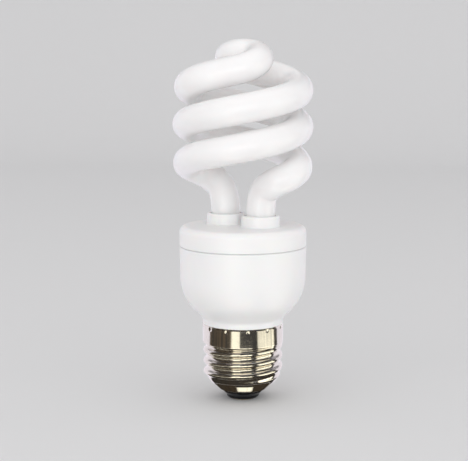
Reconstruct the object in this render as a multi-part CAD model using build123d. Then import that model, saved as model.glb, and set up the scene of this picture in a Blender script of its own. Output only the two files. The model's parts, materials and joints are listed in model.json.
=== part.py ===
from build123d import *
import math
import os

# Energy saving bulb: a half spiral fluorescent tube on a two-piece ballast case with an E27 screw cap.
# All sizes are in millimetres. The origin is the centre of the flat underside of the centre contact,
# +Z runs up the bulb's axis to the top of the tube, and the first lobes of the coil lie along X.

# E27 screw cap: threads, sheet and heights above the contact
thread_pitch = 3.629
thread_major_d = 26.3
thread_depth = 1.09
thread_crest_flat = 0.55
thread_root_flat = 1.15
thread_swell = 0.15
thread_sink = 0.3
thread_turns = 3.75
thread_foot_z = 6.9
thread_phase = -29.5
thread_run_in_z = 9.2
thread_run_in_angle = 56.0
shell_sheet = 0.35
skirt_d = 26.7
skirt_foot_z = 19.3
skirt_shoulder = 0.9
cap_top_z = 25.4
shell_rim_z = 3.4
shell_rim_d = 16.2
shell_cone_angle = 42.0
shell_shoulder_r = 4.6

# Punch marks that hold the shell on the plastic neck
punch_count = 12
punch_d = 1.5
punch_depth = 0.22
punch_drop = 1.5
punch_turn = 11.3

# Black glass insulator and centre contact
insulator_foot_d = 10.8
insulator_foot_h = 1.2
insulator_round = 0.6
insulator_top_z = 7.0
insulator_bore_d = 2.6
contact_d = 8.8
contact_t = 0.5
contact_hole_d = 2.2
eyelet_h = 1.4
eyelet_wall = 0.15
solder_recess = 0.1

# Ballast case: cup with a round bowl, and cover with two collars
case_d = 41.7
case_wall = 1.4
case_taper = 0.3
bowl_r = 15.4
bowl_slope = 45.0
neck_d = 26.8
lip_h = 2.0
parting_z = 51.3
seam_chamfer = 0.25
cover_top_z = 58.0
cover_round = 2.2
cover_plate = 1.5
spigot_wall = 1.2
spigot_gap = 0.1
board_gap = 0.3
neck_gap = 0.12
neck_wall = 1.3
neck_foot_z = 12.6
ledge_w = 0.9
ledge_h = 1.2

# Collars that carry the legs of the tube
collar_d = 12.3
collar_top_z = 61.7
collar_draft = 4.0
collar_round = 0.5
collar_bore_gap = 0.35
cement_drop = 0.5
cement_pad_d = 13.0
cement_pad_t = 1.5

# Spiral tube: 9.5 mm glass, two strands that meet in the bridge at the top
tube_d = 9.5
coil_r = 18.1
coil_lead = 24.0
first_lobe_z = 78.35
coil_corner_count = 12
coil_lean = 0.85
leg_r = 6.9
leg_angle = 150.0
leg_foot_z = 53.2
leg_foot_round = 1.4
leg_bend_z = 69.25
lead_in_angle = 108.7
lead_in_pull = 10.15
lead_in_slope = 0.54
coil_entry_angle = 24.0
coil_entry_pull = 20.3
lead_in_shares = (0.3, 0.55, 0.8)
bridge_r = 5.1
bridge_rise = 5.4
bridge_corner_count = 4
tube_top_z = 118.55
coil_exit_pull = 11.15
bridge_entry_pull = 10.5
bridge_entry_slope = 0.11
lead_out_shares = (0.17, 0.5, 0.83)
run_share = 0.49
exhaust_tip_d = 3.2
exhaust_tip_h = 3.6

# Wires
wire_d = 0.6
lead_wire_spread = 2.4
lead_wire_bend = 1.0
lead_wire_z = 49.9
pin_w = 0.9
pin_h = 5.0
pin_inset = 2.5
supply_wire_d = 0.9
supply_wire_bend = 1.3

# Circuit board
board_t = 1.2
board_edge_gap = 0.25
board_drop = 4.6
part_gap = 0.3

# Parts under the board
choke_x = -7.6
choke_w = 13.2
choke_d = 6.0
choke_h = 12.4
choke_yoke = 1.9
choke_leg = 3.6
choke_fit = 0.15
bobbin_wall = 0.6
bobbin_flange = 0.8
bobbin_depth = 11.6
winding_inset = 0.4
smoothing_cap_d = 10.0
smoothing_cap_h = 17.0
smoothing_cap_bevel = 0.5
smoothing_cap_x = 4.4
film_cap_size = (10.5, 4.8, 9.0)
film_cap_x = -5.0
film_cap_y = 10.2
film_cap_round = 0.6
transistor_d = 4.8
transistor_flat = 1.3
transistor_h = 5.0
transistor_spots = ((6.6, -7.6), (11.6, -6.4))
toroid_d = 7.5
toroid_hole = 3.9
toroid_h = 3.2
toroid_direction = 50.0
toroid_wrap = 0.5
toroid_winding_w = 2.4
toroid_winding_count = 3
toroid_seat = 0.5
filter_d = 5.6
filter_h = 8.0
filter_flange = 1.0
filter_neck_d = 2.6
filter_direction = -75.0
thermistor_d = 6.0
thermistor_t = 2.6
thermistor_inset = 3.5

# Parts on top of the board
diode_d = 2.6
diode_l = 5.2
diode_pitch = 4.2
diode_count = 4
resistor_d = 2.2
resistor_l = 6.0
resistor_waist = 0.25
resistor_pitch = 3.6
resistor_count = 4
trigger_d = 1.9
trigger_l = 3.8
trigger_y = -6.0

# Fusible resistor in the supply lead
fuse_d = 3.4
fuse_l = 9.0
fuse_z = 10.5
fuse_bevel = 0.4
live_turn_z = 23.5
live_board_x = 1.9
live_board_y = -7.6
neutral_direction = 98.6
neutral_turn_z = 27.5
neutral_down_r = 8.6
neutral_foot_z = 11.4
neutral_gap = 0.1

# Values that follow from those above
thread_root_r = thread_major_d / 2 - thread_depth
skirt_r = skirt_d / 2
neck_r = neck_d / 2
case_r = case_d / 2
tube_r = tube_d / 2
board_top_z = parting_z - board_drop
board_z = board_top_z - board_t
board_hole_r = case_r - case_wall - case_taper
ledge_r = board_hole_r - ledge_w
spigot_r = board_hole_r - spigot_gap
spigot_in_r = spigot_r - spigot_wall
leg_x = leg_r * math.cos(math.radians(leg_angle))
leg_y = leg_r * math.sin(math.radians(leg_angle))
bridge_top_z = tube_top_z - tube_r
coil_middle_z = first_lobe_z + coil_lead / 2


def ring(*outline):
    """Solid of revolution about Z from edges drawn in the XZ plane, where X is the radius."""
    return revolve(make_face(Curve() + list(outline)), Axis.Z, 360)


def at(radius, height):
    """Point of a profile at a radius and a height."""
    return Vector(radius, 0, height)


def closed_ring(points):
    """Solid of revolution about Z from the corners of a closed profile."""
    corners = [at(radius, height) for radius, height in points]
    return ring(Polyline(*corners, close=True))


def both_legs(shape):
    """The shape beside the left leg and its half turn copy beside the right leg."""
    return [shape, Rot(0, 0, 180) * shape]


# Screw cap

def cone_offset(sheet):
    """Rim radius and height of the bottom cone, moved inwards by the sheet."""
    slope = math.radians(shell_cone_angle)
    return shell_rim_d / 2 - sheet / math.sin(slope), shell_rim_z


def shell_body(sheet):
    """Shell without its thread, as a solid that is smaller than the outside by the sheet all round."""
    root = thread_root_r - sheet
    skirt = skirt_r - sheet
    rim, rim_z = cone_offset(sheet)
    slope = math.radians(shell_cone_angle)
    shoulder = shell_shoulder_r - sheet
    arc_r = root - shoulder
    touch = at(arc_r + shoulder * math.sin(slope), 0)
    touch_z = rim_z + (touch.X - rim) * math.tan(slope)
    arc_z = touch_z + shoulder * math.cos(slope)
    middle = math.radians(90 - shell_cone_angle) / 2
    mid = at(arc_r + shoulder * math.cos(middle), arc_z - shoulder * math.sin(middle))
    step = skirt_foot_z - skirt_shoulder
    return ring(
        Line(at(0, rim_z), at(rim, rim_z)),
        Line(at(rim, rim_z), at(touch.X, touch_z)),
        ThreePointArc(at(touch.X, touch_z), mid, at(root, arc_z)),
        Line(at(root, arc_z), at(root, step)),
        Line(at(root, step), at(skirt, skirt_foot_z)),
        Line(at(skirt, skirt_foot_z), at(skirt, cap_top_z)),
        Line(at(skirt, cap_top_z), at(0, cap_top_z)),
        Line(at(0, cap_top_z), at(0, rim_z)),
    )


def thread_ridge():
    """Rolled ridge of the thread: a rounded trapezoid on a right-hand helix, run in at its lower end."""
    crest = thread_major_d / 2
    sunk = thread_root_r - thread_sink
    half_base = (thread_pitch - thread_root_flat) / 2
    half_crest = thread_crest_flat / 2
    half_middle = (half_base + half_crest) / 2 + thread_swell
    middle = (thread_root_r + crest) / 2
    upper = [
        at(crest, half_crest), at(middle, half_middle),
        at(thread_root_r, half_base), at(sunk, half_base),
    ]
    lower = [at(point.X, -point.Z) for point in reversed(upper)]
    section = Face(Wire(Polyline(*upper, *lower, close=True)))
    path = Helix(thread_pitch, thread_pitch * thread_turns, crest)
    ridge = Pos(0, 0, thread_foot_z) * Rot(0, 0, thread_phase) * sweep(section, path=path, is_frenet=True)
    run_in = (thread_run_in_z - shell_rim_z) / math.tan(math.radians(thread_run_in_angle))
    envelope = closed_ring([
        (0, shell_rim_z), (crest - run_in, shell_rim_z),
        (skirt_r, thread_run_in_z + run_in_rise()), (skirt_r, cap_top_z), (0, cap_top_z),
    ])
    return ridge & envelope


def run_in_rise():
    """Height from where the run-in cone meets the crests to where it meets the skirt's radius."""
    return (skirt_r - thread_major_d / 2) * math.tan(math.radians(thread_run_in_angle))


def punch_marks():
    """Small round dents round the skirt, just under its upper edge."""
    ball_r = (punch_d ** 2 / 4 + punch_depth ** 2) / (2 * punch_depth)
    ball = Pos(skirt_r - punch_depth + ball_r, 0, cap_top_z - punch_drop) * Sphere(ball_r)
    step = 360 / punch_count
    return [Rot(0, 0, punch_turn + step * k) * ball for k in range(punch_count)]


def make_screw_shell():
    """Drawn and rolled sheet shell: open at the top and at the rim of its bottom cone."""
    return shell_body(0) + thread_ridge() - shell_body(shell_sheet) - punch_marks()


def make_cap_insulator():
    rim, rim_z = cone_offset(shell_sheet)
    foot_r = insulator_foot_d / 2
    under_z = contact_t / 2
    bend = insulator_round * (1 - math.sqrt(0.5))
    plug = shell_body(shell_sheet)
    plug = split(plug, Plane.XY.offset(insulator_top_z), keep=Keep.BOTTOM)
    cone = ring(
        Line(at(0, rim_z), at(rim, rim_z)),
        Line(at(rim, rim_z), at(foot_r, insulator_foot_h)),
        Line(at(foot_r, insulator_foot_h), at(foot_r, under_z + insulator_round)),
        ThreePointArc(
            at(foot_r, under_z + insulator_round),
            at(foot_r - bend, under_z + bend),
            at(foot_r - insulator_round, under_z)),
        Line(at(foot_r - insulator_round, under_z), at(0, under_z)),
        Line(at(0, under_z), at(0, rim_z)),
    )
    seat = Cylinder(contact_d / 2, contact_t, align=(Align.CENTER, Align.CENTER, Align.MIN))
    bore = Cylinder(insulator_bore_d / 2, insulator_top_z, align=(Align.CENTER, Align.CENTER, Align.MIN))
    return plug + cone - seat - bore


def make_centre_contact():
    hole_r = contact_hole_d / 2
    collar_r = hole_r + eyelet_wall
    return closed_ring([
        (hole_r, 0), (contact_d / 2, 0), (contact_d / 2, contact_t),
        (collar_r, contact_t), (collar_r, contact_t + eyelet_h), (hole_r, contact_t + eyelet_h),
    ])


def make_contact_solder():
    low = Align.MIN
    height = contact_t + eyelet_h - solder_recess
    core = Cylinder(contact_hole_d / 2, height, align=(Align.CENTER, Align.CENTER, low))
    return Pos(0, 0, solder_recess) * core


# Ballast case

def bowl_outline(inset):
    """Arc centre height, cone touch point and lip corner of the bowl, moved inwards by the inset."""
    slope = math.radians(bowl_slope)
    radius = bowl_r - inset
    centre_r = case_r - case_taper - bowl_r
    lip_r = neck_r
    touch_r = centre_r + bowl_r * math.sin(slope)
    lip_z = cap_top_z + lip_h
    touch_z = lip_z + (touch_r - lip_r) * math.tan(slope)
    centre_z = touch_z + bowl_r * math.cos(slope)
    inner_touch = at(centre_r + radius * math.sin(slope), centre_z - radius * math.cos(slope))
    middle = math.radians(90 - bowl_slope) / 2
    mid = at(centre_r + radius * math.cos(middle), centre_z - radius * math.sin(middle))
    end = at(centre_r + radius, centre_z)
    return inner_touch, mid, end


def make_ballast_housing():
    touch, mid, end = bowl_outline(0)
    in_touch, in_mid, in_end = bowl_outline(case_wall)
    shell_in = skirt_r - shell_sheet - neck_gap
    thread_in = thread_root_r - shell_sheet - neck_gap
    bore_r = thread_in - neck_wall
    slope = math.tan(math.radians(bowl_slope))
    bore_top = in_touch.Z - (in_touch.X - bore_r) * slope
    step_z = skirt_foot_z + neck_gap
    rim_r = case_r - seam_chamfer
    wall_z = board_z - ledge_h - ledge_w
    return ring(
        Line(at(bore_r, neck_foot_z), at(thread_in, neck_foot_z)),
        Line(at(thread_in, neck_foot_z), at(thread_in, step_z - skirt_shoulder)),
        Line(at(thread_in, step_z - skirt_shoulder), at(shell_in, step_z)),
        Line(at(shell_in, step_z), at(shell_in, cap_top_z)),
        Line(at(shell_in, cap_top_z), at(neck_r, cap_top_z)),
        Line(at(neck_r, cap_top_z), at(neck_r, cap_top_z + lip_h)),
        Line(at(neck_r, cap_top_z + lip_h), touch),
        ThreePointArc(touch, mid, end),
        Line(end, at(case_r, parting_z - seam_chamfer)),
        Line(at(case_r, parting_z - seam_chamfer), at(rim_r, parting_z)),
        Line(at(rim_r, parting_z), at(board_hole_r, parting_z)),
        Line(at(board_hole_r, parting_z), at(board_hole_r, board_z)),
        Line(at(board_hole_r, board_z), at(ledge_r, board_z)),
        Line(at(ledge_r, board_z), at(ledge_r, board_z - ledge_h)),
        Line(at(ledge_r, board_z - ledge_h), at(in_end.X, wall_z)),
        Line(at(in_end.X, wall_z), in_end),
        ThreePointArc(in_end, in_mid, in_touch),
        Line(in_touch, at(bore_r, bore_top)),
        Line(at(bore_r, bore_top), at(bore_r, neck_foot_z)),
    )


def collar():
    """Drafted collar round one leg, with a rounded mouth."""
    top_r = collar_d / 2
    sunk = cover_top_z - cover_plate / 2
    base_r = top_r + (collar_top_z - sunk) * math.tan(math.radians(collar_draft))
    bend = 1 - math.sqrt(0.5)
    body = ring(
        Line(at(0, sunk), at(base_r, sunk)),
        Line(at(base_r, sunk), at(top_r, collar_top_z - collar_round)),
        ThreePointArc(
            at(top_r, collar_top_z - collar_round),
            at(top_r - collar_round * bend, collar_top_z - collar_round * bend),
            at(top_r - collar_round, collar_top_z)),
        Line(at(top_r - collar_round, collar_top_z), at(0, collar_top_z)),
        Line(at(0, collar_top_z), at(0, sunk)),
    )
    return Pos(leg_x, leg_y, 0) * body


def make_ballast_cover():
    flat_r = case_r - cover_round
    plate_z = cover_top_z - cover_plate
    spigot_z = board_top_z + board_gap
    bend = math.sqrt(0.5)
    shoulder_z = cover_top_z - cover_round
    shell = ring(
        Line(at(0, plate_z), at(spigot_in_r, plate_z)),
        Line(at(spigot_in_r, plate_z), at(spigot_in_r, spigot_z)),
        Line(at(spigot_in_r, spigot_z), at(spigot_r, spigot_z)),
        Line(at(spigot_r, spigot_z), at(spigot_r, parting_z)),
        Line(at(spigot_r, parting_z), at(case_r - seam_chamfer, parting_z)),
        Line(at(case_r - seam_chamfer, parting_z), at(case_r, parting_z + seam_chamfer)),
        Line(at(case_r, parting_z + seam_chamfer), at(case_r, shoulder_z)),
        ThreePointArc(
            at(case_r, shoulder_z),
            at(flat_r + cover_round * bend, shoulder_z + cover_round * bend),
            at(flat_r, cover_top_z)),
        Line(at(flat_r, cover_top_z), at(0, cover_top_z)),
        Line(at(0, cover_top_z), at(0, plate_z)),
    )
    bore_r = tube_r + collar_bore_gap
    low = (Align.CENTER, Align.CENTER, Align.MIN)
    bore = Pos(leg_x, leg_y, plate_z) * Cylinder(bore_r, collar_top_z - plate_z, align=low)
    return shell + both_legs(collar()) - both_legs(bore)


def make_tube_cement():
    bore_r = tube_r + collar_bore_gap
    plate_z = cover_top_z - cover_plate
    body = closed_ring([
        (tube_r, plate_z - cement_pad_t), (cement_pad_d / 2, plate_z - cement_pad_t),
        (cement_pad_d / 2, plate_z), (bore_r, plate_z),
        (bore_r, collar_top_z - cement_drop), (tube_r, collar_top_z - cement_drop),
    ])
    return both_legs(Pos(leg_x, leg_y, 0) * body)


# Spiral tube

def lean(point):
    """Turns a point of the coil about Y at the coil's middle, by the amount that it stands out of true."""
    turned = Vector(point.X, point.Y, point.Z - coil_middle_z).rotate(Axis.Y, coil_lean)
    return turned + Vector(0, 0, coil_middle_z)


def cubic(start, pull_start, pull_end, end, shares):
    """Points of a cubic curve between two ends, at the given shares of its parameter."""
    points = []
    for t in shares:
        u = 1 - t
        first_half = start * u ** 3 + pull_start * (3 * u * u * t)
        points.append(first_half + pull_end * (3 * u * t * t) + end * t ** 3)
    return points


def lead_in():
    """From the top of the left leg backwards and round into the coil, just past its first lobe."""
    angle = math.radians(lead_in_angle)
    entry = math.radians(180 + coil_entry_angle)
    slope = coil_lead / (2 * math.pi * coil_r)
    entry_z = first_lobe_z + coil_lead * coil_entry_angle / 360
    start = Vector(leg_x, leg_y, leg_bend_z)
    end = Vector(coil_r * math.cos(entry), coil_r * math.sin(entry), entry_z)
    pull_start = start + Vector(math.cos(angle), math.sin(angle), lead_in_slope) * lead_in_pull
    pull_end = end - Vector(-math.sin(entry), math.cos(entry), slope) * coil_entry_pull
    return cubic(start, pull_start, pull_end, end, lead_in_shares)


def coil():
    """The rest of one right-hand turn, from the entry just past the first left lobe to the last left lobe."""
    entry = coil_entry_angle / 360
    step = (1 - entry) / coil_corner_count
    corner_r = coil_r / math.cos(math.pi * step)
    points = []
    for k in range(coil_corner_count):
        turn = entry + (k + 0.5) * step
        angle = math.radians(180 + 360 * turn)
        height = first_lobe_z + coil_lead * turn
        points.append(Vector(corner_r * math.cos(angle), corner_r * math.sin(angle), height))
    return points


def lead_out():
    """From the last left lobe inwards across the front to the foot of the bridge."""
    slope = coil_lead / (2 * math.pi * coil_r)
    start = Vector(-coil_r, 0, first_lobe_z + coil_lead)
    end = Vector(0, -2 * bridge_r, bridge_top_z - bridge_rise)
    pull_start = start + Vector(0, -1, slope) * coil_exit_pull
    pull_end = end - Vector(1, 0, bridge_entry_slope) * bridge_entry_pull
    return cubic(start, pull_start, pull_end, end, lead_out_shares)


def bridge():
    """Half of the S that joins the strands: a half circle that rises to the middle of the top."""
    step = math.pi / bridge_corner_count
    corner_r = bridge_r / math.cos(step / 2)
    foot_z = bridge_top_z - bridge_rise
    points = []
    for k in range(bridge_corner_count):
        angle = (k + 0.5) * step
        height = foot_z + bridge_rise * math.sin(angle / 2)
        points.append(Vector(corner_r * math.sin(angle), -bridge_r - corner_r * math.cos(angle), height))
    return points


def tube_corners():
    """Corners of the whole centre line: up the left strand, over the bridge and down the right one."""
    rise = lead_in() + coil() + lead_out() + bridge()
    fall = [Vector(-point.X, -point.Y, point.Z) for point in reversed(rise)]
    foot = Vector(leg_x, leg_y, leg_foot_z)
    knee = Vector(leg_x, leg_y, leg_bend_z)
    legs = [foot, knee]
    far_legs = [Vector(-knee.X, -knee.Y, knee.Z), Vector(-foot.X, -foot.Y, foot.Z)]
    return legs + [lean(point) for point in rise + fall] + far_legs


def bend_radii(corners):
    """Radius at each corner that uses nearly half of the shorter run beside it."""
    radii = []
    for before, corner, after in zip(corners, corners[1:], corners[2:]):
        arriving = corner - before
        leaving = after - corner
        turn = math.radians(arriving.get_angle(leaving))
        radii.append(run_share * min(arriving.length, leaving.length) / math.tan(turn / 2))
    return radii


def make_spiral_tube():
    corners = tube_corners()
    path = FilletPolyline(*corners, radius=bend_radii(corners))
    section = Plane(origin=corners[0], z_dir=(0, 0, 1)) * Circle(tube_r)
    tube = sweep(section, path=path)
    feet = tube.edges().group_by(Axis.Z)[0]
    tube = fillet(feet, leg_foot_round)
    high = (Align.CENTER, Align.CENTER, Align.MAX)
    tip_r = exhaust_tip_d / 2
    tip = Cylinder(tip_r, exhaust_tip_h - tip_r, align=high)
    tip += Pos(0, 0, tip_r - exhaust_tip_h) * Sphere(tip_r)
    return tube + Pos(leg_x, leg_y, leg_foot_z) * tip


# Board, pins and tube wires

def make_circuit_board():
    low = (Align.CENTER, Align.CENTER, Align.MIN)
    return Pos(0, 0, board_z) * Cylinder(board_hole_r - board_edge_gap, board_t, align=low)


def pin_places():
    """Outward and sideways place of the pins, in the leg's own direction."""
    return [(spigot_in_r - pin_inset, side * lead_wire_spread) for side in (-1, 1)]


def make_wire_wrap_pins():
    low = (Align.CENTER, Align.CENTER, Align.MIN)
    pins = []
    for reach, side in pin_places():
        pin = Rot(0, 0, leg_angle) * Pos(reach, side, board_top_z) * Box(pin_w, pin_w, pin_h, align=low)
        pins += both_legs(pin)
    return pins


def make_tube_lead_wires():
    wires = []
    for reach, side in pin_places():
        start = Vector(leg_r, side, leg_foot_z)
        path = FilletPolyline(
            start, Vector(leg_r, side, lead_wire_z), Vector(reach - pin_w / 2, side, lead_wire_z),
            radius=lead_wire_bend)
        wire = sweep(Plane(origin=start, z_dir=(0, 0, -1)) * Circle(wire_d / 2), path=path)
        wires += both_legs(Rot(0, 0, leg_angle) * wire)
    return wires


# Parts under the board, drawn hanging from the plane of its underside

def hang(shape, x, y):
    """Places a shape drawn downwards from Z = 0 under the board."""
    return Pos(x, y, board_z) * shape


HANG = (Align.CENTER, Align.CENTER, Align.MAX)


def near_wall(shape, radius, direction):
    """Hangs a round part just clear of the case's ledge, in a direction seen from the axis."""
    reach = ledge_r - radius - part_gap
    angle = math.radians(direction)
    return hang(shape, reach * math.cos(angle), reach * math.sin(angle))


def make_choke_core():
    """Two E halves whose three legs meet in the middle of the winding."""
    half_h = choke_h / 2
    side_leg = choke_yoke
    window = (choke_w - choke_leg - 2 * side_leg) / 2
    slot_x = choke_leg / 2 + window / 2
    low = (Align.CENTER, Align.CENTER, Align.MIN)
    half = Box(choke_w, choke_d, half_h, align=low)
    slot = Box(window, choke_d, half_h - choke_yoke, align=low)
    half -= [Pos(side * slot_x, 0, choke_yoke) * slot for side in (-1, 1)]
    lower = hang(Pos(0, 0, -choke_h - bobbin_flange) * half, choke_x, 0)
    upper = hang(Pos(0, 0, -bobbin_flange) * Rot(180, 0, 0) * half, choke_x, 0)
    return [lower, upper]


def choke_window():
    """Width of the core's window and the clear height between its yokes."""
    return (choke_w - choke_leg - 2 * choke_yoke) / 2, choke_h - 2 * choke_yoke


def make_choke_bobbin():
    """Tube round the middle leg, two flanges, and two feet that reach the board beside the core."""
    window, clear_h = choke_window()
    tube_w = choke_leg + 2 * (choke_fit + bobbin_wall)
    tube_y = choke_d + 2 * (choke_fit + bobbin_wall)
    flange_w = choke_leg + 2 * window - 2 * choke_fit
    body_h = clear_h - 2 * choke_fit
    top_z = -bobbin_flange - choke_yoke - choke_fit
    body = Pos(0, 0, top_z) * Box(tube_w, tube_y, body_h, align=HANG)
    flange = Box(flange_w, bobbin_depth, bobbin_flange, align=HANG)
    body += Pos(0, 0, top_z) * flange
    body += Pos(0, 0, top_z - body_h + bobbin_flange) * flange
    foot_y = (bobbin_depth - choke_d) / 2 - choke_fit
    foot = Box(flange_w, foot_y, -top_z, align=HANG)
    for side in (-1, 1):
        body += Pos(0, side * (bobbin_depth - foot_y) / 2, 0) * foot
    hole = Pos(0, 0, top_z) * Box(choke_leg + 2 * choke_fit, choke_d + 2 * choke_fit, body_h, align=HANG)
    return hang(body - hole, choke_x, 0)


def make_choke_winding():
    window, clear_h = choke_window()
    body_h = clear_h - 2 * choke_fit - 2 * bobbin_flange
    top_z = -bobbin_flange - choke_yoke - choke_fit - bobbin_flange
    tube_w = choke_leg + 2 * (choke_fit + bobbin_wall)
    tube_y = choke_d + 2 * (choke_fit + bobbin_wall)
    flange_w = choke_leg + 2 * window - 2 * choke_fit
    coil_block = Box(flange_w - 2 * winding_inset, bobbin_depth - 2 * winding_inset, body_h, align=HANG)
    coil_block = fillet(coil_block.edges().filter_by(Axis.Z), 2 * winding_inset)
    coil_block -= Box(tube_w, tube_y, body_h, align=HANG)
    return hang(Pos(0, 0, top_z) * coil_block, choke_x, 0)


def make_smoothing_capacitor():
    body = Cylinder(smoothing_cap_d / 2, smoothing_cap_h, align=HANG)
    body = chamfer(body.edges().filter_by(GeomType.CIRCLE), smoothing_cap_bevel)
    return hang(body, smoothing_cap_x, 0)


def make_film_capacitors():
    width, depth, height = film_cap_size
    body = Box(width, depth, height, align=HANG)
    body = fillet(body.edges().group_by(Axis.Z)[0] + body.edges().filter_by(Axis.Z), film_cap_round)
    return [hang(body, film_cap_x, side * film_cap_y) for side in (-1, 1)]


def make_transistors():
    body = Cylinder(transistor_d / 2, transistor_h, align=HANG)
    flat = Pos(0, transistor_flat, 0) * Box(transistor_d, transistor_d, transistor_h, align=(
        Align.CENTER, Align.MIN, Align.MAX))
    body -= flat
    return [hang(body, x, y) for x, y in transistor_spots]


def make_toroid_core():
    body = Cylinder(toroid_d / 2, toroid_h, align=HANG) - Cylinder(toroid_hole / 2, toroid_h, align=HANG)
    return near_wall(Pos(0, 0, -toroid_seat) * body, toroid_d / 2 + toroid_wrap, toroid_direction)


def make_toroid_windings():
    """Short windings round the ring, each wrapping a sector of its section."""
    outer = toroid_d / 2 + toroid_wrap
    inner = toroid_hole / 2 - toroid_wrap
    section = closed_ring([(inner, 0), (outer, 0), (outer, -toroid_h - 2 * toroid_wrap),
                           (inner, -toroid_h - 2 * toroid_wrap)])
    core = Pos(0, 0, -toroid_wrap) * (
        Cylinder(toroid_d / 2, toroid_h, align=HANG) - Cylinder(toroid_hole / 2, toroid_h, align=HANG))
    section -= core
    height = toroid_h + 2 * toroid_wrap
    wedge = Box(outer * 2, toroid_winding_w, height, align=(Align.MIN, Align.CENTER, Align.MAX))
    windings = []
    for k in range(toroid_winding_count):
        sector = Rot(0, 0, 360 / toroid_winding_count * k) * wedge
        windings += (section & sector).solids()
    lift = Pos(0, 0, toroid_wrap - toroid_seat)
    return [near_wall(lift * winding, outer, toroid_direction) for winding in windings]


def make_filter_core():
    end_r = filter_d / 2
    neck = filter_neck_d / 2
    body = closed_ring([
        (0, 0), (end_r, 0), (end_r, -filter_flange), (neck, -filter_flange),
        (neck, -filter_h + filter_flange), (end_r, -filter_h + filter_flange),
        (end_r, -filter_h), (0, -filter_h),
    ])
    return near_wall(body, filter_d / 2, filter_direction)


def make_filter_winding():
    outer = filter_d / 2 - winding_inset
    neck = filter_neck_d / 2
    body = closed_ring([
        (neck, -filter_flange), (outer, -filter_flange),
        (outer, -filter_h + filter_flange), (neck, -filter_h + filter_flange),
    ])
    return near_wall(body, filter_d / 2, filter_direction)


def make_thermistor():
    body = Rot(0, 90, 0) * Cylinder(thermistor_d / 2, thermistor_t)
    return hang(Pos(0, 0, -thermistor_d / 2) * body, ledge_r - thermistor_inset, 0)


# Parts lying on top of the board

def lying(shape, x, y, radius):
    """Places a part drawn along X on the upper face of the board."""
    return Pos(x, y, board_top_z + radius) * shape


def row_of(shape, count, pitch, diameter, length, side):
    """Row of parts that point outwards, with the row's corners just clear of the cover's spigot."""
    half_row = (pitch * (count - 1) + diameter) / 2
    y = math.sqrt((spigot_in_r - part_gap) ** 2 - half_row ** 2) - length / 2
    return [lying(shape, pitch * (k - (count - 1) / 2), side * y, diameter / 2) for k in range(count)]


def make_rectifier_diodes():
    body = Rot(90, 0, 0) * Cylinder(diode_d / 2, diode_l)
    return row_of(body, diode_count, diode_pitch, diode_d, diode_l, 1)


def make_resistors():
    """Small resistors with raised ends."""
    end_r = resistor_d / 2
    waist = end_r - resistor_waist
    end_l = resistor_l / 5
    half = resistor_l / 2
    body = closed_ring([
        (0, -half), (end_r, -half), (end_r, end_l - half), (waist, end_l + resistor_waist - half),
        (waist, half - end_l - resistor_waist), (end_r, half - end_l), (end_r, half), (0, half),
    ])
    body = Rot(90, 0, 0) * body
    return row_of(body, resistor_count, resistor_pitch, resistor_d, resistor_l, -1)


def make_trigger_diode():
    body = Rot(0, 90, 0) * Cylinder(trigger_d / 2, trigger_l)
    body = chamfer(body.edges().filter_by(GeomType.CIRCLE), trigger_d / 6)
    return lying(body, 0, trigger_y, trigger_d / 2)


# Supply leads and fusible resistor

def supply_wire(points):
    """Supply wire along the corners of its path."""
    path = FilletPolyline(*points, radius=supply_wire_bend)
    heading = points[1] - points[0]
    return sweep(Plane(origin=points[0], z_dir=heading) * Circle(supply_wire_d / 2), path=path)


def make_fuse_resistor():
    low = (Align.CENTER, Align.CENTER, Align.MIN)
    body = Pos(0, 0, fuse_z) * Cylinder(fuse_d / 2, fuse_l, align=low)
    return chamfer(body.edges().filter_by(GeomType.CIRCLE), fuse_bevel)


def make_live_lead():
    """From the solder up to the fusible resistor, and from there to the board."""
    low = (Align.CENTER, Align.CENTER, Align.MIN)
    solder_z = contact_t + eyelet_h
    lower = Pos(0, 0, solder_z) * Cylinder(supply_wire_d / 2, fuse_z - solder_z, align=low)
    upper = supply_wire([
        Vector(0, 0, fuse_z + fuse_l), Vector(0, 0, live_turn_z),
        Vector(live_board_x, live_board_y, live_turn_z + abs(live_board_y)),
        Vector(live_board_x, live_board_y, board_z),
    ])
    return [lower, upper]


def make_neutral_lead():
    """From the board down into the neck and out against the inside of the shell."""
    reach = ledge_r - supply_wire_d / 2 - part_gap
    shell_r = thread_root_r - shell_sheet - neutral_gap
    drop = reach - neutral_down_r
    wire = supply_wire([
        at(reach, board_z),
        at(reach, neutral_turn_z + drop),
        at(neutral_down_r, neutral_turn_z),
        at(neutral_down_r, neutral_foot_z),
        at(shell_r, neutral_foot_z),
    ])
    return Rot(0, 0, neutral_direction) * wire


NODES = {
    "spiral_tube": make_spiral_tube,
    "tube_cement": make_tube_cement,
    "ballast_cover": make_ballast_cover,
    "ballast_housing": make_ballast_housing,
    "screw_shell": make_screw_shell,
    "cap_insulator": make_cap_insulator,
    "centre_contact": make_centre_contact,
    "contact_solder": make_contact_solder,
    "circuit_board": make_circuit_board,
    "wire_wrap_pins": make_wire_wrap_pins,
    "tube_lead_wires": make_tube_lead_wires,
    "choke_core": make_choke_core,
    "choke_bobbin": make_choke_bobbin,
    "choke_winding": make_choke_winding,
    "smoothing_capacitor": make_smoothing_capacitor,
    "film_capacitors": make_film_capacitors,
    "power_transistors": make_transistors,
    "toroid_core": make_toroid_core,
    "toroid_windings": make_toroid_windings,
    "filter_choke_core": make_filter_core,
    "filter_choke_winding": make_filter_winding,
    "ptc_thermistor": make_thermistor,
    "rectifier_diodes": make_rectifier_diodes,
    "resistors": make_resistors,
    "trigger_diode": make_trigger_diode,
    "fuse_resistor": make_fuse_resistor,
    "live_lead": make_live_lead,
    "neutral_lead": make_neutral_lead,
}


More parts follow.
